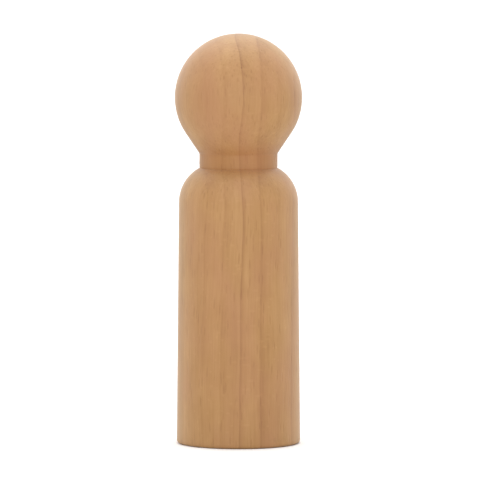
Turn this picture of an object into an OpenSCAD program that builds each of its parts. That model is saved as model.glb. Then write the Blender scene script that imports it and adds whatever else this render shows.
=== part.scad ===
// Turned wooden peg figure: a ball head, a short neck and a tapered body, cut
// in one piece from a hardwood rod on a lathe. The rod's axis is Z and the
// grain runs along it. The flat base stands on z = 0.

/* [Overall] */
// Height from the base to the crown of the head
figure_h = 90; // [84:1:100]
// Number of straight sides that a drawn circle is shown with
roundness = 128; // [32:16:256]

/* [Head] */
// Diameter of the ball head
head_d = 28; // [26:0.5:30]
// Angle below the ball's middle at which the straight flank leaves the ball
flank_angle = 34; // [28:1:42]

/* [Neck] */
// Diameter of the neck
neck_d = 17.2; // [15:0.1:19]
// Height of the neck's straight wall
neck_h = 3.2; // [2:0.1:5]

/* [Body] */
// Diameter of the body where the shoulder ends
body_top_d = 26.2; // [25:0.1:28]
// Diameter of the body at the base
body_base_d = 27.2; // [26:0.1:29]
// Radius of the rounded shoulder
shoulder_r = 8.5; // [6:0.1:10]
// Radius of the softened edge round the base
base_edge_r = 0.7; // [0.3:0.1:1.5]

/* [Hidden] */

// Depth by which the flank bites into the ball that it leaves, so that the two
// cross at a shallow angle and don't only touch.
bite = 0.01;
// Angle between the points along the softened edge round the base
edge_step = 15;

head_r = head_d / 2;
neck_r = neck_d / 2;
body_top_r = body_top_d / 2;
body_base_r = body_base_d / 2;

// The flank is a straight cut that leaves the ball along its tangent and runs
// down and inwards to the neck.
head_z = figure_h - head_r;
flank_top_r = (head_r - bite) * cos(flank_angle);
flank_top_z = head_z - (head_r - bite) * sin(flank_angle);
flank_h = (flank_top_r - neck_r) / tan(flank_angle);
neck_top_z = flank_top_z - flank_h;
neck_base_z = neck_top_z - neck_h;

// The shoulder is an arc that starts at the foot of the neck and ends on the
// body's side, where it runs straight down.
shoulder_axis_r = body_top_r - shoulder_r;
shoulder_z = neck_base_z - sqrt(pow(shoulder_r, 2) - pow(neck_r - shoulder_axis_r, 2));

// Ball, with the straight flank that runs from its lower side to the neck
module head() {
    translate([0, 0, head_z]) sphere(r = head_r, $fn = roundness);
    translate([0, 0, neck_top_z])
    cylinder(h = flank_h, r1 = neck_r, r2 = flank_top_r, $fn = roundness);
}

// Straight neck, let into the ball above it and the shoulder below it
module neck() {
    translate([0, 0, shoulder_z])
    cylinder(h = flank_top_z - shoulder_z, r = neck_r, $fn = roundness);
}

// Rounded shoulder: the part of a disc right of the axis, turned about the axis
module shoulder() {
    rotate_extrude($fn = roundness)
    intersection() {
        translate([shoulder_axis_r, shoulder_z]) circle(r = shoulder_r, $fn = roundness);
        square([body_top_r, neck_top_z]);
    }
}

// Tapered side on a flat base, with the softened edge between them
module body() {
    rotate_extrude($fn = roundness)
    polygon([
        [0, 0],
        for (a = [-90 : edge_step : 0])
            [body_base_r - base_edge_r + base_edge_r * cos(a), base_edge_r + base_edge_r * sin(a)],
        [body_top_r - bite, shoulder_z],
        [0, shoulder_z]
    ]);
}

// The whole figure, one piece of wood
module peg_figure() {
    color("burlywood")
    union() {
        head();
        neck();
        shoulder();
        body();
    }
}

peg_figure();
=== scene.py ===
"""Looks of a turned wooden peg figure: its surface as it leaves the lathe, its timber and its studio.

The figure is one piece of close-grained hardwood. Its surface is an outline turned about the Z axis,
with the small unevenness that turning, drying and sanding leave. Its timber is one solid pattern of
growth rings, fibres, pores and rays, so the grain runs through head, neck and body without a break.
"""

import logging
import math
from dataclasses import dataclass, field
from enum import Enum

import bpy
import numpy as np
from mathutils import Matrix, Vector


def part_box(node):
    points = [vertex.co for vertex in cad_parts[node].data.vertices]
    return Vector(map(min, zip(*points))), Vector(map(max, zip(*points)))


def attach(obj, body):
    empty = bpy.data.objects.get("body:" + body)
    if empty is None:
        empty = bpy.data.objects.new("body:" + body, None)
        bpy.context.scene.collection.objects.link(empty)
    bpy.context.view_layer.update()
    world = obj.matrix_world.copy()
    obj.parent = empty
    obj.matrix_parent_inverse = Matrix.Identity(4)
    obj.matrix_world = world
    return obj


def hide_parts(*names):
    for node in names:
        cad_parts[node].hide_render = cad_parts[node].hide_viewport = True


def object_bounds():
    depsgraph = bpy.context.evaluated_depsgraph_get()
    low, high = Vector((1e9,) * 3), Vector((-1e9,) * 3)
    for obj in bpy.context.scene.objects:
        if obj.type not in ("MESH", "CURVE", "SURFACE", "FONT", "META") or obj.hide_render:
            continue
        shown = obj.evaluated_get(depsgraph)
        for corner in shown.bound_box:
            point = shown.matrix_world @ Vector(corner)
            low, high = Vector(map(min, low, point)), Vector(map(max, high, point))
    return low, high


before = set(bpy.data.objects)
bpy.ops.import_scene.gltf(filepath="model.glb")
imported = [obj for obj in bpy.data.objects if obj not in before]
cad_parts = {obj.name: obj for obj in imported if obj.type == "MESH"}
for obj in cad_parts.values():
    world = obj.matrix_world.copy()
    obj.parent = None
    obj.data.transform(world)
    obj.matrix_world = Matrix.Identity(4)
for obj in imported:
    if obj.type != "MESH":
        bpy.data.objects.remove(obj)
CAD_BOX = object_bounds()

LOG = logging.getLogger("peg_figure")
NODE = "peg_figure"
BODY = "root"
MM = 0.001
TURN = 2 * math.pi

Tree = bpy.types.NodeTree
Socket = bpy.types.NodeSocket
Colour = tuple[float, float, float, float]


def linear(hex_colour: str) -> Colour:
    """Turns an sRGB hex colour to the linear values that a shader takes.

    Args:
        hex_colour: The colour as "#RRGGBB".

    Returns:
        Red, green, blue and an alpha of 1.
    """
    parts = [int(hex_colour[start:start + 2], 16) / 255 for start in (1, 3, 5)]
    red, green, blue = [p / 12.92 if p <= 0.04045 else ((p + 0.055) / 1.055) ** 2.4 for p in parts]
    return red, green, blue, 1.0


def add_node(
    tree: Tree,
    kind: str,
    settings: dict | None = None,
    inputs: dict | None = None,
    stops: list[tuple[float, Colour]] | None = None,
) -> bpy.types.Node:
    """Adds a node to a tree, with its settings, its input values or links, and its ramp's stops.

    Args:
        tree: The tree that takes the node.
        kind: The node's type, without its ShaderNode prefix.
        settings: Attribute name to value.
        inputs: Input name or number to a socket, a node (its first output is used) or a value.
        stops: Position and colour of each stop, for a colour ramp.

    Returns:
        The new node.
    """
    node = tree.nodes.new("ShaderNode" + kind)
    for name, value in (settings or {}).items():
        setattr(node, name, value)
    for key, value in (inputs or {}).items():
        source = value.outputs[0] if isinstance(value, bpy.types.Node) else value
        if isinstance(source, Socket):
            tree.links.new(source, node.inputs[key])
        else:
            node.inputs[key].default_value = source
    for number, (position, colour) in enumerate(stops or []):
        elements = node.color_ramp.elements
        stop = elements[number] if number < 2 else elements.new(position)
        stop.position = position
        stop.color = colour
    return node


def greys(levels: tuple[tuple[float, float], ...]) -> list[tuple[float, Colour]]:
    """Turns positions and brightnesses into a colour ramp's grey stops."""
    return [(position, (level, level, level, 1.0)) for position, level in levels]


class Cut(Enum):
    """Which face of the timber the front of the figure shows, as a turn of the rings about Z in degrees."""

    QUARTER = 0.0
    RIFT = 35.0
    PLAIN = 90.0


@dataclass(frozen=True)
class Outline:
    """The outline that the lathe turns, from the crown to the middle of the base, in metres.

    Attributes:
        height: From the base to the crown.
        head_radius: Radius of the ball head.
        flank_angle: Angle below the ball's middle where the straight flank leaves it, in degrees.
        neck_radius: Radius of the neck.
        neck_height: Height of the neck's straight wall.
        body_top_radius: Radius where the shoulder ends.
        body_base_radius: Radius at the base.
        shoulder_radius: Radius of the shoulder's arc.
        edge_radius: Radius of the softened edge round the base.
        score_depth: Depth of the fine score that the tool's corner leaves where neck and shoulder meet.
        score_width: Width of that score.
        sanding: How far fine sanding blurs a corner.
        step: Spacing of the points that the outline is first drawn with.
    """

    height: float
    head_radius: float
    flank_angle: float = 34.0
    neck_radius: float = 8.6 * MM
    neck_height: float = 3.2 * MM
    body_top_radius: float = 13.1 * MM
    body_base_radius: float = 13.6 * MM
    shoulder_radius: float = 8.5 * MM
    edge_radius: float = 0.7 * MM
    score_depth: float = 0.12 * MM
    score_width: float = 0.36 * MM
    sanding: float = 0.09 * MM
    step: float = 0.02 * MM

    def arc(self, centre: tuple[float, float], radius: float, start: float, end: float) -> np.ndarray:
        """Points along an arc: centre plus radius times the cosine and sine of an even run of angles.

        Args:
            centre: Distance from the axis, and height.
            radius: The arc's radius.
            start: First angle above the horizontal, in degrees.
            end: Last angle, in degrees.

        Returns:
            Rows of distance from the axis and height.
        """
        count = max(int(radius * abs(math.radians(end - start)) / self.step), 2)
        angles = np.radians(np.linspace(start, end, count))
        return np.stack([centre[0] + radius * np.cos(angles), centre[1] + radius * np.sin(angles)], axis=1)

    def line(self, start: tuple[float, float], end: tuple[float, float]) -> np.ndarray:
        """Points along a straight stretch: an even blend from its start to its end.

        Args:
            start: Distance from the axis, and height, where it starts.
            end: The same where it ends.

        Returns:
            Rows of distance from the axis and height.
        """
        count = max(int(math.dist(start, end) / self.step), 2)
        share = np.linspace(0.0, 1.0, count)[:, None]
        return np.array(start) * (1 - share) + np.array(end) * share

    def stretches(self) -> list[np.ndarray]:
        """The outline's stretches in order: ball, flank, neck, shoulder, side, base edge and base.

        Returns:
            One array of points for each stretch.
        """
        angle = math.radians(self.flank_angle)
        head_z = self.height - self.head_radius
        flank_top = (self.head_radius * math.cos(angle), head_z - self.head_radius * math.sin(angle))
        neck_top_z = flank_top[1] - (flank_top[0] - self.neck_radius) / math.tan(angle)
        neck_base_z = neck_top_z - self.neck_height
        shoulder_axis = self.body_top_radius - self.shoulder_radius
        lean = math.acos((self.neck_radius - shoulder_axis) / self.shoulder_radius)
        shoulder_z = neck_base_z - self.shoulder_radius * math.sin(lean)
        flat_radius = self.body_base_radius - self.edge_radius
        score_top = (self.neck_radius, neck_base_z + self.score_width / 2)
        score_foot = (self.neck_radius - self.score_depth, neck_base_z)
        score_end = (self.neck_radius + self.score_width / 4, neck_base_z - self.score_width / 8)
        return [
            self.arc((0.0, head_z), self.head_radius, 90.0, -self.flank_angle),
            self.line(flank_top, (self.neck_radius, neck_top_z)),
            self.line((self.neck_radius, neck_top_z), score_top),
            self.line(score_top, score_foot),
            self.line(score_foot, score_end),
            self.arc((shoulder_axis, shoulder_z), self.shoulder_radius, math.degrees(lean), 0.0),
            self.line((self.body_top_radius, shoulder_z), (self.body_base_radius, self.edge_radius)),
            self.arc((flat_radius, self.edge_radius), self.edge_radius, 0.0, -90.0),
            self.line((flat_radius, 0.0), (0.0, 0.0)),
        ]

    def sanded(self) -> np.ndarray:
        """The outline with its corners softened, evenly spaced.

        Each point becomes the mean of the outline near it, weighted by a bell curve as wide as sanding
        reaches. Beyond both ends the outline carries on as its own mirror image across the axis, so the
        crown stays round and the base stays flat.

        Returns:
            Rows of distance from the axis and height, a step apart.
        """
        drawn = np.concatenate(self.stretches())
        gaps = np.hypot(*np.diff(drawn, axis=0).T)
        drawn = drawn[np.concatenate([[True], gaps > 1e-9])]  # drops the points that two stretches share
        along = np.concatenate([[0.0], np.cumsum(np.hypot(*np.diff(drawn, axis=0).T))])
        even = np.linspace(0.0, along[-1], int(along[-1] / self.step))
        points = np.stack([np.interp(even, along, drawn[:, axis]) for axis in (0, 1)], axis=1)
        reach = int(4 * self.sanding / self.step)  # the bell curve is next to nothing four widths out
        mirrored = points * (-1.0, 1.0)
        wide = np.concatenate([mirrored[reach:0:-1], points, mirrored[-2:-reach - 2:-1]])
        bell = np.exp(-0.5 * (np.arange(-reach, reach + 1) * self.step / self.sanding) ** 2)
        bell /= bell.sum()
        return np.stack([np.convolve(wide[:, axis], bell, "valid") for axis in (0, 1)], axis=1)

    def rows(self, count: int, crowding: float) -> tuple[np.ndarray, np.ndarray]:
        """Picks the outline's points that the rings of vertices stand on, closer together at the corners.

        The spacing follows the curvature: the wanted density is one plus crowding times the share of a
        right angle that the outline turns through within six sanding widths, and rows are placed at
        even steps of the running sum of that density.

        Args:
            count: How many rows there are, both poles included.
            crowding: How much denser the rows stand at a sharp corner.

        Returns:
            The rows' points, and their outward normals in the same plane.
        """
        points = self.sanded()
        tangent = np.gradient(points, axis=0)
        tangent /= np.hypot(*tangent.T)[:, None]
        turn = np.abs(np.gradient(np.unwrap(np.arctan2(tangent[:, 1], tangent[:, 0]))))
        spread = np.ones(int(6 * self.sanding / self.step))
        density = 1 + crowding * np.convolve(turn, spread, "same") / (math.pi / 2)
        running = np.concatenate([[0.0], np.cumsum((density[1:] + density[:-1]) / 2)])
        picked = np.interp(np.linspace(0.0, running[-1], count), running, np.arange(len(points)))
        whole = np.arange(len(points))
        rows = np.stack([np.interp(picked, whole, points[:, axis]) for axis in (0, 1)], axis=1)
        rows[[0, -1], 0] = 0.0
        outward = np.stack([-tangent[:, 1], tangent[:, 0]], axis=1)
        normals = np.stack([np.interp(picked, whole, outward[:, axis]) for axis in (0, 1)], axis=1)
        return rows, normals

    def neck_corners(self) -> list[tuple[float, float]]:
        """Where the neck meets the flank above it, and the shoulder below it.

        Returns:
            Distance from the axis and height of the upper corner, then of the lower one.
        """
        angle = math.radians(self.flank_angle)
        flank_z = self.height - self.head_radius * (1 + math.sin(angle))
        upper_z = flank_z - (self.head_radius * math.cos(angle) - self.neck_radius) / math.tan(angle)
        return [(self.neck_radius, upper_z), (self.neck_radius, upper_z - self.neck_height)]


@dataclass(frozen=True)
class PaintedCornerShade:
    """Painted shade in the neck's two corners: where the head and the shoulder shut out light, the wood is
    drawn darker and warmer.

    Attributes:
        upper_share: Painted shade in the upper corner, from 0 to 1.
        upper_reach: How far it shows, over the neck and up the flank.
        lower_share: Painted shade in the lower corner.
        lower_reach: How far that shows.
    """

    upper_share: float = 0.7
    upper_reach: float = 2.7 * MM
    lower_share: float = 0.5
    lower_reach: float = 1.4 * MM

    def share(self, points: np.ndarray, corners: list[tuple[float, float]]) -> np.ndarray:
        """How much painted shade each point takes: the sum of a bell curve of the distance to each corner.

        Args:
            points: Rows of x, y, z.
            corners: Distance from the axis and height of the upper corner and the lower one.

        Returns:
            The share of painted shade at each point, from 0 to 1.
        """
        radius = np.hypot(points[:, 0], points[:, 1])
        total = np.zeros(len(points))
        strengths = (self.upper_share, self.lower_share)
        for (out, up), strength, reach in zip(corners, strengths, (self.upper_reach, self.lower_reach)):
            distance = np.hypot(radius - out, points[:, 2] - up)
            total += strength * np.exp(-(distance / reach) ** 2)
        return np.clip(total, 0.0, 1.0)


@dataclass(frozen=True)
class Unevenness:
    """How the turned surface departs from its outline, all of it cut into the wood.

    Attributes:
        oval: How much of its radius the rod loses across the rings as it dries.
        fibre_depth: Depth of the fine furrows between raised fibres.
        fibre_cell: Size of a furrow across the grain, across it again, and along it.
        chatter_depth: Depth of the soft rings that the turning tool leaves.
        chatter_pitch: Mean spacing of those rings.
        wander_cell: Size of a stretch over which the tool keeps its pace.
        wander: How far the tool's rings then drift, in radians of their wave.
        saw_depth: Depth of the parting tool's rings on the base.
        saw_pitch: Spacing of the parting tool's rings.
        seed: Seed of the random numbers.
    """

    oval: float = 0.0022
    fibre_depth: float = 0.012 * MM
    fibre_cell: tuple[float, float, float] = (0.7 * MM, 0.7 * MM, 11.0 * MM)
    chatter_depth: float = 0.010 * MM
    chatter_pitch: float = 1.9 * MM
    wander_cell: tuple[float, float, float] = (40.0 * MM, 40.0 * MM, 6.0 * MM)
    wander: float = 5.0
    saw_depth: float = 0.02 * MM
    saw_pitch: float = 0.9 * MM
    seed: int = 11

    def lattice_noise(self, points: np.ndarray, cell: tuple[float, float, float], seed: int) -> np.ndarray:
        """Value noise: random numbers at the corners of boxes, blended between the eight nearest corners.

        The blend along each axis is the smooth step 3t^2 - 2t^3 of the place t within the box. A corner's
        number is drawn from a table of 4096, at its steps along x, y and z times three primes. Steps are
        counted from far outside the figure, so that none is negative.

        Args:
            points: Rows of x, y, z.
            cell: Size of a box along each axis.
            seed: Added to the class's seed.

        Returns:
            One number from 0 to 1 for each point.
        """
        place = points / np.array(cell) + 1000.0
        corner = np.floor(place).astype(np.int64)
        share = place - corner
        share = share * share * (3 - 2 * share)
        table = np.random.default_rng(self.seed + seed).random(4096)
        total = np.zeros(len(points))
        for dx in (0, 1):
            for dy in (0, 1):
                for dz in (0, 1):
                    step = corner + (dx, dy, dz)
                    pick = (step[:, 0] * 73 + step[:, 1] * 1279 + step[:, 2] * 3571) % len(table)
                    weight = np.abs(1 - dx - share[:, 0]) * np.abs(1 - dy - share[:, 1])
                    total += table[pick] * weight * np.abs(1 - dz - share[:, 2])
        return total

    def depth(self, points: np.ndarray, facing_down: np.ndarray) -> np.ndarray:
        """How deep the surface is cut below the outline.

        The sum of three parts: furrows, value noise drawn out along the grain; chatter, one plus the sine
        of height over pitch with a slowly wandering phase; and on the base, the parting tool's rings, one
        plus the sine of the distance from the axis over their pitch.

        Args:
            points: Rows of x, y, z on the outline's surface.
            facing_down: How far each point's normal points down, from 0 to 1.

        Returns:
            The depth at each point, never negative.
        """
        furrows = self.lattice_noise(points, self.fibre_cell, 1)
        phase = self.wander * self.lattice_noise(points, self.wander_cell, 2)
        chatter = 0.5 + 0.5 * np.sin(TURN * points[:, 2] / self.chatter_pitch + phase)
        distance = np.hypot(points[:, 0], points[:, 1])
        saw = 0.5 + 0.5 * np.sin(TURN * distance / self.saw_pitch + phase)
        return (
            self.fibre_depth * furrows
            + self.chatter_depth * chatter * (1 - facing_down)
            + self.saw_depth * saw * facing_down
        )


@dataclass(frozen=True)
class SandedSchima:
    """Schima, a reddish tan diffuse-porous hardwood, turned from rod, fine sanded and left bare.

    To the eye it is a soft, close grain with little contrast: growth rings a few millimetres apart that
    darken slowly and end in a thin line, fine upright fibres, pores like short pencil strokes, and small
    rays. Sanding leaves it matt, with a faint bloom of raised fibres that shows where it turns away.

    Attributes:
        pale: Colour of the wood laid down early in a season.
        tan: Its middle colour.
        late: Colour of the wood laid down late in a season.
        brown: Darkest colour, in pores and the ring line.
        rose: Tint of its pinker patches.
        corner_shade_colour: Darker, warmer colour painted into the neck's corners as shade.
        bloom: Colour of the raised fibres where the surface turns away.
        cut: Which face of the timber the front shows.
        pith_mm: Distance from the figure's axis to the centre of the rings, which is on its right.
        ring_mm: Mean spacing of the growth rings.
        first_mm: Distance from the pith of one ring's end, which sets where the lines fall.
        ring_seed: Number of the ring that ends there, which sets how marked it and the others are.
        ring_contrast: Darkness through a season, as its time and how dark the wood is then.
        uneven_rings: Over how many mm the rings' widths change, and by what share of a ring.
        lean_deg: How far the grain leans from the figure's axis, sideways.
        sway_mm: Width and length of a bend in the grain, and how far the grain strays in it.
        fibre_mm: Width and length of a fine streak. Real fibres are some 0.02 mm wide, too fine to
            show, so a bundle of them is drawn.
        broad_mm: Width and length of a broad band.
        pore_mm: Spacing of the pores across the grain and along it. Real pores are 0.06 mm wide, so
            they are drawn about three times as wide.
        pore_edge: Where a pore starts to fade and where it ends, as shares of the spacing.
        ray_mm: Length, thickness and height of the spacing of the rays.
        ray_edge: Where a ray starts to fade and where it ends, as shares of the spacing.
        mottle_mm: Width and length of a cloud of the mottle.
        rosy_mm: Width and length of a pinker patch.
        rosy_edge: Height of the slow noise at which a patch starts, and at which it is pinkest.
        rosy_share: How pink such a patch is at most.
        lightest: Tone of the wood between its patterns, on the way from pale at 0 to brown at 1.
        ring_darkness: How much a ring's end adds to the tone, in the faintest ring and the strongest.
        fine_darkness: How much the fine streaks add.
        broad_darkness: How much the broad bands add.
        mottle_darkness: How much the mottle adds.
        pore_darkness: How much a pore adds.
        ray_darkness: How much a ray adds, below zero because rays are paler.
        corner_shade_darkness: How much the painted shade in the neck's corners adds to the tone.
        corner_shade_warmth: How far that painted shade takes the wood towards its corner shade colour.
        roughness: Roughness of the smoothest streak and of the roughest. Fine sandpaper leaves it matt.
        relief_mm: Height of the raised fibres over the furrows.
        pore_sink: Depth of a pore, as a share of that height.
        relief_strength: How strongly that relief is shown.
        bloom_weight: How strong the bloom of raised fibres is.
        bloom_roughness: How far round it spreads from the edge.
        refraction: Index of refraction of wood.
    """

    pale: str = "#CB9E6A"
    tan: str = "#B68854"
    late: str = "#A37445"
    brown: str = "#7C522C"
    rose: str = "#B8825F"
    corner_shade_colour: str = "#A86A33"
    bloom: str = "#FFF7E6"
    cut: Cut = Cut.QUARTER
    pith_mm: float = 58.0
    ring_mm: float = 4.1
    first_mm: float = 59.2
    ring_seed: float = 3603.0
    ring_contrast: tuple[tuple[float, float], ...] = (
        (0.0, 0.42),
        (0.035, 0.10),
        (0.12, 0.0),
        (0.50, 0.13),
        (0.76, 0.34),
        (0.90, 0.66),
        (0.955, 1.0),
        (0.985, 0.85),
    )
    uneven_rings: tuple[float, float] = (7.0, 0.7)
    lean_deg: float = -0.5
    sway_mm: tuple[float, float, float] = (17.0, 42.0, 4.2)
    fibre_mm: tuple[float, float] = (0.42, 16.0)
    broad_mm: tuple[float, float] = (3.4, 80.0)
    pore_mm: tuple[float, float] = (0.75, 5.0)
    pore_edge: tuple[float, float] = (0.16, 0.30)
    ray_mm: tuple[float, float, float] = (5.0, 0.8, 1.5)
    ray_edge: tuple[float, float] = (0.10, 0.28)
    mottle_mm: tuple[float, float] = (4.2, 6.5)
    rosy_mm: tuple[float, float] = (9.0, 22.0)
    rosy_edge: tuple[float, float] = (0.40, 0.68)
    rosy_share: float = 0.5
    lightest: float = -0.23
    ring_darkness: tuple[float, float] = (0.04, 0.31)
    fine_darkness: float = 0.36
    broad_darkness: float = 0.42
    mottle_darkness: float = 0.32
    pore_darkness: float = 0.12
    ray_darkness: float = -0.07
    corner_shade_darkness: float = 0.10
    corner_shade_warmth: float = 0.55
    roughness: tuple[float, float] = (0.42, 0.58)
    relief_mm: float = 0.05
    pore_sink: float = 0.8
    relief_strength: float = 0.5
    bloom_weight: float = 0.30
    bloom_roughness: float = 0.5
    refraction: float = 1.5

    def timber(self, tree: Tree) -> Socket:
        """Places the figure in its tree: millimetres from the pith, with the grain's lean and wander.

        Args:
            tree: The material's tree.

        Returns:
            The socket that holds the place in the timber.
        """
        place = add_node(tree, "TexCoord").outputs["Object"]
        turned = add_node(tree, "Mapping", inputs={
            "Vector": place,
            "Location": (-self.pith_mm, 0.0, 0.0),
            "Rotation": (0.0, math.radians(self.lean_deg), math.radians(self.cut.value)),
            "Scale": (1 / MM, 1 / MM, 1 / MM),
        })
        width, length, stray = self.sway_mm
        slow = add_node(tree, "VectorMath", {"operation": "MULTIPLY"}, {
            0: turned,
            1: (1 / width, 1 / width, 1 / length),
        })
        sway = add_node(tree, "TexNoise", inputs={
            "Vector": slow,
            "Scale": 1.0,
            "Detail": 2.0,
            "Roughness": 0.45,
        })
        centred = add_node(tree, "VectorMath", {"operation": "SUBTRACT"}, {
            0: sway.outputs["Color"],
            1: (0.5, 0.5, 0.5),
        })
        return add_node(tree, "VectorMath", {"operation": "MULTIPLY_ADD"}, {
            0: centred,
            1: (stray, stray, 0.0),
            2: turned,
        }).outputs[0]

    def rings(self, tree: Tree, timber: Socket) -> tuple[Socket, Socket]:
        """Growth rings: the distance from the pith, counted in rings and darkening through each season.

        The count is the distance over the spacing, plus a slow noise that makes some rings wide and some
        narrow. Its fraction is the time of the season, its whole part picks how marked that ring is.

        Args:
            tree: The material's tree.
            timber: Place in the timber.

        Returns:
            The season's darkness from 0 to 1, and how marked the ring is from 0 to 1.
        """
        across = add_node(tree, "VectorMath", {"operation": "MULTIPLY"}, {0: timber, 1: (1.0, 1.0, 0.0)})
        distance = add_node(tree, "VectorMath", {"operation": "LENGTH"}, {0: across}).outputs["Value"]
        stretch, change = self.uneven_rings
        widths = add_node(tree, "TexNoise", {"noise_dimensions": "1D"}, {
            "W": distance,
            "Scale": 1 / stretch,
            "Detail": 0.0,
        })
        offset = add_node(tree, "Math", {"operation": "MULTIPLY_ADD"}, {
            0: widths,
            1: change,
            2: -change / 2,
        })
        count = add_node(tree, "Math", {"operation": "MULTIPLY_ADD"}, {
            0: distance,
            1: 1 / self.ring_mm,
            2: -self.first_mm / self.ring_mm,
        })
        count = add_node(tree, "Math", {"operation": "ADD"}, {0: count, 1: offset})
        season = add_node(tree, "Math", {"operation": "FRACT"}, {0: count})
        number = add_node(tree, "Math", {"operation": "FLOOR"}, {0: count})
        picked = add_node(tree, "Math", {"operation": "ADD"}, {0: number, 1: self.ring_seed})
        dice = add_node(tree, "TexWhiteNoise", {"noise_dimensions": "1D"}, {"W": picked})
        late = add_node(tree, "ValToRGB", inputs={"Fac": season}, stops=greys(self.ring_contrast))
        return late.outputs[0], dice.outputs["Value"]

    def streaks(self, tree: Tree, timber: Socket) -> tuple[Socket, Socket]:
        """Fibres: noise squeezed across the grain and drawn out along it, at two widths.

        Args:
            tree: The material's tree.
            timber: Place in the timber.

        Returns:
            The fine streaks and the broad bands, each from 0 to 1.
        """
        patterns = []
        for (width, length), detail, roughness in ((self.fibre_mm, 3.0, 0.62), (self.broad_mm, 1.5, 0.5)):
            place = add_node(tree, "VectorMath", {"operation": "MULTIPLY"}, {
                0: timber,
                1: (1 / width, 1 / width, 1 / length),
            })
            patterns.append(add_node(tree, "TexNoise", inputs={
                "Vector": place,
                "Scale": 1.0,
                "Detail": detail,
                "Roughness": roughness,
            }).outputs[0])
        fine, broad = patterns
        return fine, broad

    def mottle(self, tree: Tree, timber: Socket) -> Socket:
        """Mottle: soft clouds where the fibres lean a little in or out and take the light differently.

        Args:
            tree: The material's tree.
            timber: Place in the timber.

        Returns:
            The clouds, from 0 to 1.
        """
        width, length = self.mottle_mm
        place = add_node(tree, "VectorMath", {"operation": "MULTIPLY"}, {
            0: timber,
            1: (1 / width, 1 / width, 1 / length),
        })
        return add_node(tree, "TexNoise", inputs={
            "Vector": place,
            "Scale": 1.0,
            "Detail": 2.0,
            "Roughness": 0.55,
            "Distortion": 0.4,
        }).outputs[0]

    def pores(self, tree: Tree, timber: Socket) -> Socket:
        """Pores: a small long ellipsoid at the heart of each cell of a stretched cell pattern.

        Args:
            tree: The material's tree.
            timber: Place in the timber.

        Returns:
            1 inside a pore, 0 outside.
        """
        width, length = self.pore_mm
        place = add_node(tree, "VectorMath", {"operation": "MULTIPLY"}, {
            0: timber,
            1: (1 / width, 1 / width, 1 / length),
        })
        cells = add_node(tree, "TexVoronoi", inputs={"Vector": place, "Scale": 1.0, "Randomness": 1.0})
        return add_node(tree, "MapRange", {"interpolation_type": "SMOOTHSTEP"}, {
            "Value": cells.outputs["Distance"],
            "From Min": self.pore_edge[0],
            "From Max": self.pore_edge[1],
            "To Min": 1.0,
            "To Max": 0.0,
        }).outputs[0]

    def rays(self, tree: Tree, timber: Socket) -> Socket:
        """Rays: thin plates that run outwards from the pith.

        The place is taken as distance from the pith, arc round it and height, and each is divided by the
        rays' spacing, so that a cell pattern there is long outwards and thin round the pith.

        Args:
            tree: The material's tree.
            timber: Place in the timber.

        Returns:
            1 inside a ray, 0 outside.
        """
        outward, thick, tall = self.ray_mm
        parts = add_node(tree, "SeparateXYZ", inputs={0: timber})
        across = add_node(tree, "VectorMath", {"operation": "MULTIPLY"}, {0: timber, 1: (1.0, 1.0, 0.0)})
        distance = add_node(tree, "VectorMath", {"operation": "LENGTH"}, {0: across}).outputs["Value"]
        angle = add_node(tree, "Math", {"operation": "ARCTAN2"}, {0: parts.outputs[1], 1: parts.outputs[0]})
        arc = add_node(tree, "Math", {"operation": "MULTIPLY"}, {0: angle, 1: self.pith_mm})
        polar = add_node(tree, "CombineXYZ", inputs={0: distance, 1: arc, 2: parts.outputs[2]})
        place = add_node(tree, "VectorMath", {"operation": "MULTIPLY"}, {
            0: polar,
            1: (1 / outward, 1 / thick, 1 / tall),
        })
        cells = add_node(tree, "TexVoronoi", inputs={"Vector": place, "Scale": 1.0, "Randomness": 1.0})
        return add_node(tree, "MapRange", {"interpolation_type": "SMOOTHSTEP"}, {
            "Value": cells.outputs["Distance"],
            "From Min": self.ray_edge[0],
            "From Max": self.ray_edge[1],
            "To Min": 1.0,
            "To Max": 0.0,
        }).outputs[0]

    def rosiness(self, tree: Tree, timber: Socket) -> Socket:
        """Pinker patches: the brighter parts of a slow noise, drawn out along the grain.

        Args:
            tree: The material's tree.
            timber: Place in the timber.

        Returns:
            How pink the wood is.
        """
        width, length = self.rosy_mm
        place = add_node(tree, "VectorMath", {"operation": "MULTIPLY"}, {
            0: timber,
            1: (1 / width, 1 / width, 1 / length),
        })
        patches = add_node(tree, "TexNoise", inputs={"Vector": place, "Scale": 1.0, "Detail": 4.0})
        return add_node(tree, "MapRange", inputs={
            "Value": patches,
            "From Min": self.rosy_edge[0],
            "From Max": self.rosy_edge[1],
            "To Max": self.rosy_share,
        }).outputs[0]

    def build(self) -> bpy.types.Material:
        """Makes the material: the patterns' darkness summed into a tone, the tone's colour, and the finish.

        Returns:
            The material.
        """
        material = bpy.data.materials.new("sanded_schima")
        material.use_nodes = True
        tree = material.node_tree
        tree.nodes.clear()
        timber = self.timber(tree)
        season, marked = self.rings(tree, timber)
        fine, broad = self.streaks(tree, timber)
        pore = self.pores(tree, timber)
        # Painted shade: a mask that darkens the tone and warms the colour in the neck's corners, where the
        # head and the shoulder shut out light.
        corner_shade_mask = add_node(tree, "Attribute", {"attribute_name": "painted_corner_shade"}).outputs["Fac"]

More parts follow.
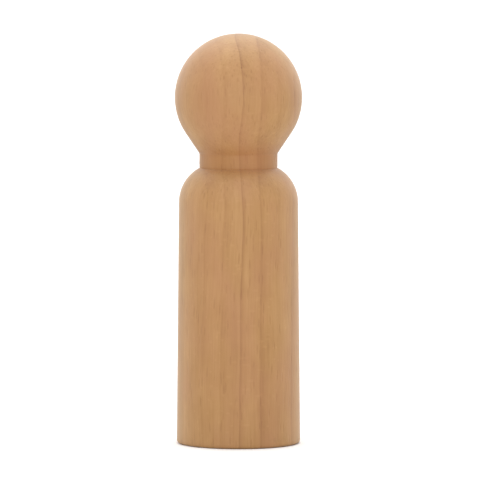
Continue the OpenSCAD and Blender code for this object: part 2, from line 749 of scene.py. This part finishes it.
        faint, strong = self.ring_darkness
        strength = add_node(tree, "MapRange", inputs={"Value": marked, "To Min": faint, "To Max": strong})
        tone = self.lightest
        for pattern, darkness in (
            (season, strength),
            (fine, self.fine_darkness),
            (broad, self.broad_darkness),
            (self.mottle(tree, timber), self.mottle_darkness),
            (pore, self.pore_darkness),
            (self.rays(tree, timber), self.ray_darkness),
            (corner_shade_mask, self.corner_shade_darkness),
        ):
            tone = add_node(tree, "Math", {"operation": "MULTIPLY_ADD"}, {0: pattern, 1: darkness, 2: tone})
        plain = add_node(tree, "ValToRGB", inputs={"Fac": tone}, stops=[
            (0.0, linear(self.pale)),
            (0.40, linear(self.tan)),
            (0.66, linear(self.late)),
            (1.0, linear(self.brown)),
        ])
        tinted = add_node(tree, "Mix", {"data_type": "RGBA"}, {
            0: self.rosiness(tree, timber),
            6: plain,
            7: linear(self.rose),
        })
        # The painted shade in the neck's corners also pulls the colour towards a darker, warmer brown.
        warmth = add_node(tree, "Math", {"operation": "MULTIPLY"}, {0: corner_shade_mask, 1: self.corner_shade_warmth})
        colour = add_node(tree, "Mix", {"data_type": "RGBA"}, {
            0: warmth,
            6: tinted.outputs[2],
            7: linear(self.corner_shade_colour),
        })

        smoothest, roughest = self.roughness
        rough = add_node(tree, "MapRange", inputs={"Value": fine, "To Min": smoothest, "To Max": roughest})
        raised = add_node(tree, "Math", {"operation": "MULTIPLY_ADD"}, {0: pore, 1: -self.pore_sink, 2: fine})
        relief = add_node(tree, "Bump", inputs={
            "Strength": self.relief_strength,
            "Distance": self.relief_mm * MM,
            "Height": raised,
        })
        shader = add_node(tree, "BsdfPrincipled", inputs={
            "Base Color": colour.outputs[2],
            "Roughness": rough,
            "Normal": relief,
            "IOR": self.refraction,
            "Sheen Weight": self.bloom_weight,
            "Sheen Roughness": self.bloom_roughness,
            "Sheen Tint": linear(self.bloom),
        })
        add_node(tree, "OutputMaterial", inputs={"Surface": shader})
        return material


@dataclass
class PegFigure:
    """The turned figure: one closed surface, and the timber that it is cut from.

    Attributes:
        outline: The outline that is turned.
        unevenness: What drying, turning and sanding leave.
        painted_corner_shade: The painted shade in the neck's corners.
        wood: The timber.
        around: How many vertices stand in a ring.
        rows: How many rings of vertices there are, with the two poles.
        crowding: How much closer the rows stand at corners.
    """

    outline: Outline
    unevenness: Unevenness = field(default_factory=Unevenness)
    painted_corner_shade: PaintedCornerShade = field(default_factory=PaintedCornerShade)
    wood: SandedSchima = field(default_factory=SandedSchima)
    around: int = 448
    rows: int = 216
    crowding: float = 9.0

    @classmethod
    def from_frame(cls) -> "PegFigure":
        """Sizes the figure from its CAD node: as tall as its box, with a head as wide as its box."""
        low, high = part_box(NODE)
        return cls(Outline(height=high.z - low.z, head_radius=min(high.x - low.x, high.y - low.y) / 2))

    def carry_round(self, rows: np.ndarray) -> np.ndarray:
        """Carries each row's point round the axis: r cos a, r sin a and z, for an even run of angles a.

        Args:
            rows: Rows of distance from the axis and height, r and z.

        Returns:
            Rows of x, y, z, one ring after another.
        """
        angles = np.arange(self.around) * TURN / self.around
        wide, level = np.ones(self.around), rows[:, 0]
        parts = [np.outer(level, np.cos(angles)), np.outer(level, np.sin(angles)), np.outer(rows[:, 1], wide)]
        return np.stack(parts, axis=-1).reshape(-1, 3)

    def surface(self) -> tuple[np.ndarray, np.ndarray]:
        """The turned surface: each row's point carried round the axis, then cut by the unevenness.

        A vertex moves inwards along its normal by the depth there, and its x shrinks a little as the rod
        dries.

        Returns:
            The vertices, poles first and last, and the others' numbers, with a row for each ring.
        """
        rows, normals = self.outline.rows(self.rows, self.crowding)
        ring, outward = self.carry_round(rows[1:-1]), self.carry_round(normals[1:-1])
        facing_down = np.clip(-outward[:, 2], 0.0, 1.0) ** 8  # the power leaves out all but the base
        cut = ring - outward * self.unevenness.depth(ring, facing_down)[:, None]
        cut[:, 0] *= 1 - self.unevenness.oval
        crown = [[0.0, 0.0, cut[:self.around, 2].max()]]
        base = [[0.0, 0.0, cut[-self.around:, 2].mean()]]
        numbers = 1 + np.arange((self.rows - 2) * self.around).reshape(self.rows - 2, self.around)
        return np.concatenate([crown, cut, base]), numbers

    def faces(self, numbers: np.ndarray) -> list[list[int]]:
        """Joins each ring of vertices to the next with four-sided faces, and closes both poles with fans.

        Args:
            numbers: The rings' vertex numbers, with a row for each ring, from the crown down.

        Returns:
            The faces, all turned outwards.
        """
        beside = np.roll(numbers, -1, axis=1)
        quads = np.stack([numbers[:-1], numbers[1:], beside[1:], beside[:-1]], axis=-1).reshape(-1, 4)
        last = numbers[-1, -1] + 1
        top = np.stack([np.zeros_like(numbers[0]), numbers[0], beside[0]], axis=-1)
        bottom = np.stack([np.full_like(numbers[-1], last), beside[-1], numbers[-1]], axis=-1)
        return top.tolist() + quads.tolist() + bottom.tolist()

    def build(self) -> bpy.types.Object:
        """Builds the figure's mesh, dresses it and hangs it on the frame.

        Returns:
            The finished piece.
        """
        vertices, numbers = self.surface()
        # Painted shade in the neck's corners, kept as a mask on the vertices that the material reads.
        share = self.painted_corner_shade.share(vertices, self.outline.neck_corners())
        mesh = bpy.data.meshes.new("turned_figure")
        mesh.from_pydata(vertices.tolist(), [], self.faces(numbers))
        mesh.polygons.foreach_set("use_smooth", np.ones(len(mesh.polygons), dtype=bool))
        corner_shade_mask = mesh.attributes.new("painted_corner_shade", "FLOAT", "POINT")
        corner_shade_mask.data.foreach_set("value", share.astype(np.float32))
        mesh.materials.append(self.wood.build())
        mesh.update()
        piece = bpy.data.objects.new("turned_figure", mesh)
        bpy.context.scene.collection.objects.link(piece)
        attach(piece, BODY)
        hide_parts(NODE)
        return piece


def direction(azimuth_deg: float, elevation_deg: float) -> Vector:
    """A unit step from the figure in a direction.

    Args:
        azimuth_deg: 0 in front of the figure and 90 on its right.
        elevation_deg: Angle above level.

    Returns:
        The step.
    """
    azimuth, elevation = math.radians(azimuth_deg), math.radians(elevation_deg)
    level = math.cos(elevation)
    return Vector((math.sin(azimuth) * level, -math.cos(azimuth) * level, math.sin(elevation)))


def stand(data: bpy.types.ID, target: Vector, back: Vector, distance: float) -> bpy.types.Object:
    """Stands a lamp or a camera in the studio, turned to its target.

    Args:
        data: The lamp's or camera's data, whose name the object takes.
        target: The point that it looks at.
        back: Unit step from the target towards it.
        distance: How far from the target it stands.

    Returns:
        The object.
    """
    thing = bpy.data.objects.new(data.name, data)
    bpy.context.scene.collection.objects.link(thing)
    thing.location = target + back * distance
    thing.rotation_euler = back.to_track_quat("Z", "Y").to_euler()
    return thing


@dataclass(frozen=True)
class Diffuser:
    """A wide white ceiling panel, far enough off to light the whole table evenly.

    Attributes:
        azimuth_deg: Direction it hangs in, 0 in front of the figure and 90 on its right.
        elevation_deg: How high it hangs.
        spread_deg: How wide it looks from the figure.
        strength: Light that it gives a surface that faces it.
    """

    azimuth_deg: float = 180.0
    elevation_deg: float = 74.0
    spread_deg: float = 60.0
    strength: float = 1.2

    def build(self, target: Vector) -> bpy.types.Object:
        """Hangs the panel. Its light is even, so how far off it hangs makes no difference.

        Args:
            target: The point that it looks at.

        Returns:
            The lamp.
        """
        light = bpy.data.lights.new("ceiling_panel", "SUN")
        light.angle = math.radians(self.spread_deg)
        light.energy = self.strength
        return stand(light, target, direction(self.azimuth_deg, self.elevation_deg), 1.0)


@dataclass(frozen=True)
class SoftBox:
    """A small square soft box, close in front of the head, so that its light fades down the body.

    Attributes:
        azimuth_deg: Direction it stands in, 0 in front of the figure and 90 on its right.
        elevation_deg: How high it stands.
        distance: How far it stands from what it looks at.
        side: Length of its side.
        watts: Its power.
    """

    azimuth_deg: float = 0.0
    elevation_deg: float = 14.0
    distance: float = 0.17
    side: float = 0.16
    watts: float = 0.073

    def build(self, target: Vector) -> bpy.types.Object:
        """Hangs the lamp in its direction and turns it to the target.

        Args:
            target: The point that it looks at.

        Returns:
            The lamp.
        """
        light = bpy.data.lights.new("front_box", "AREA")
        light.shape = "SQUARE"
        light.size = self.side
        light.energy = self.watts
        lamp = stand(light, target, direction(self.azimuth_deg, self.elevation_deg), self.distance)
        lamp.visible_camera = False
        return lamp


@dataclass(frozen=True)
class Studio:
    """A white table in a white tent, and the camera.

    Attributes:
        tent_front: Brightness of the tent's front wall.
        tent_side: Brightness of its side walls.
        tent_back: Brightness of its back wall.
        tent_roof: Brightness of its roof.
        table: Colour of the table as seen.
        bounce: Colour of the table as the figure is lit by it.
        table_half: Half of the table's side.
        table_gap: How far its top lies under the figure's base, so that the two don't share a plane.
        ceiling: The panel overhead.
        front_box: The soft box in front.
        box_aim: How far above the figure's middle it looks, as a share of the figure's height.
        camera_elevation_deg: How high the camera stands above the figure's middle.
        camera_distance: How far it stands from it.
        filled: Share of the frame's height that the figure fills.
    """

    tent_front: float = 0.58
    tent_side: float = 0.70
    tent_back: float = 1.45
    tent_roof: float = 1.10
    table: str = "#FFFFFF"
    bounce: str = "#DAD5CD"
    table_half: float = 6.0
    table_gap: float = 0.02 * MM
    ceiling: Diffuser = field(default_factory=Diffuser)
    front_box: SoftBox = field(default_factory=SoftBox)
    box_aim: float = 0.3
    camera_elevation_deg: float = 4.2
    camera_distance: float = 1.2
    filled: float = 0.86

    def build(self) -> list[bpy.types.Object]:
        """Sets up the tent, the table, the lamps and the camera, sized from the figure's box.

        Returns:
            The table, the lamps and the camera.
        """
        low, high = CAD_BOX
        middle, height = (low + high) / 2, high.z - low.z
        self.light_tent()
        bpy.context.scene.view_settings.view_transform = "Standard"
        return [
            self.lay_table(low.z),
            self.ceiling.build(middle),
            self.front_box.build(middle + Vector((0.0, 0.0, height * self.box_aim))),
            self.place_camera(middle, height),
        ]

    def lay_table(self, height: float) -> bpy.types.Object:
        """Lays the table's top a hair under the figure's base.

        Args:
            height: The base's height.

        Returns:
            The table.
        """
        half, level = self.table_half, height - self.table_gap
        corners = [(-half, -half, level), (half, -half, level), (half, half, level), (-half, half, level)]
        mesh = bpy.data.meshes.new("table_top")
        mesh.from_pydata(corners, [], [(0, 1, 2, 3)])
        material = bpy.data.materials.new("white_card")
        material.use_nodes = True
        tree = material.node_tree
        tree.nodes.clear()
        seen = add_node(tree, "LightPath").outputs["Is Camera Ray"]
        tone = add_node(tree, "Mix", {"data_type": "RGBA"}, {
            0: seen,
            6: linear(self.bounce),
            7: linear(self.table),
        })
        card = add_node(tree, "BsdfDiffuse", inputs={"Color": tone.outputs[2]})
        add_node(tree, "OutputMaterial", inputs={"Surface": card})
        mesh.materials.append(material)
        table = bpy.data.objects.new("table_top", mesh)
        bpy.context.scene.collection.objects.link(table)
        return table

    def light_tent(self) -> None:
        """Makes the white tent: walls that blend from front to side to back, and into the roof overhead.

        The walls' brightness follows the Y of the direction that is looked in, and the square of its Z
        is the share of the roof. The camera sees the tent plain white.
        """
        world = bpy.data.worlds.new("tent")
        world.use_nodes = True
        tree = world.node_tree
        tree.nodes.clear()
        facing = add_node(tree, "SeparateXYZ", inputs={0: add_node(tree, "TexCoord").outputs["Generated"]})
        place = add_node(tree, "MapRange", inputs={"Value": facing.outputs[1], "From Min": -1.0})
        walls = greys(((0.0, self.tent_front), (0.5, self.tent_side), (1.0, self.tent_back)))
        wall = add_node(tree, "ValToRGB", inputs={"Fac": place}, stops=walls)
        overhead = add_node(tree, "Math", {"operation": "POWER"}, {0: facing.outputs[2], 1: 2.0})
        light = add_node(tree, "Mix", inputs={0: overhead, 2: wall, 3: self.tent_roof})
        seen = add_node(tree, "LightPath").outputs["Is Camera Ray"]
        level = add_node(tree, "Mix", inputs={0: seen, 2: light, 3: 1.0})
        glow = add_node(tree, "Background", inputs={"Color": (1.0, 1.0, 1.0, 1.0), "Strength": level})
        add_node(tree, "OutputWorld", inputs={"Surface": glow})
        bpy.context.scene.world = world

    def place_camera(self, middle: Vector, height: float) -> bpy.types.Object:
        """Stands the camera in front of the figure, with the lens that fills the frame as asked.

        The lens is the distance times the sensor's width over the height that the frame has to hold.

        Args:
            middle: The figure's middle.
            height: The figure's height.

        Returns:
            The camera.
        """
        data = bpy.data.cameras.new("camera")
        data.lens = self.camera_distance * data.sensor_width / (height / self.filled)
        camera = stand(data, middle, direction(0.0, self.camera_elevation_deg), self.camera_distance)
        bpy.context.scene.camera = camera
        return camera


def main() -> None:
    """Builds the studio and the figure, and reports each thing made."""
    logging.basicConfig(level=logging.INFO, format="%(name)s %(message)s")
    for thing in Studio().build():
        LOG.info("%s: %s", thing.name, thing.type.lower())
    figure = PegFigure.from_frame().build()
    triangles = sum(len(face.vertices) - 2 for face in figure.data.polygons)
    LOG.info("%s: %d vertices, %d triangles", figure.name, len(figure.data.vertices), triangles)


if __name__ == "__main__":
    main()
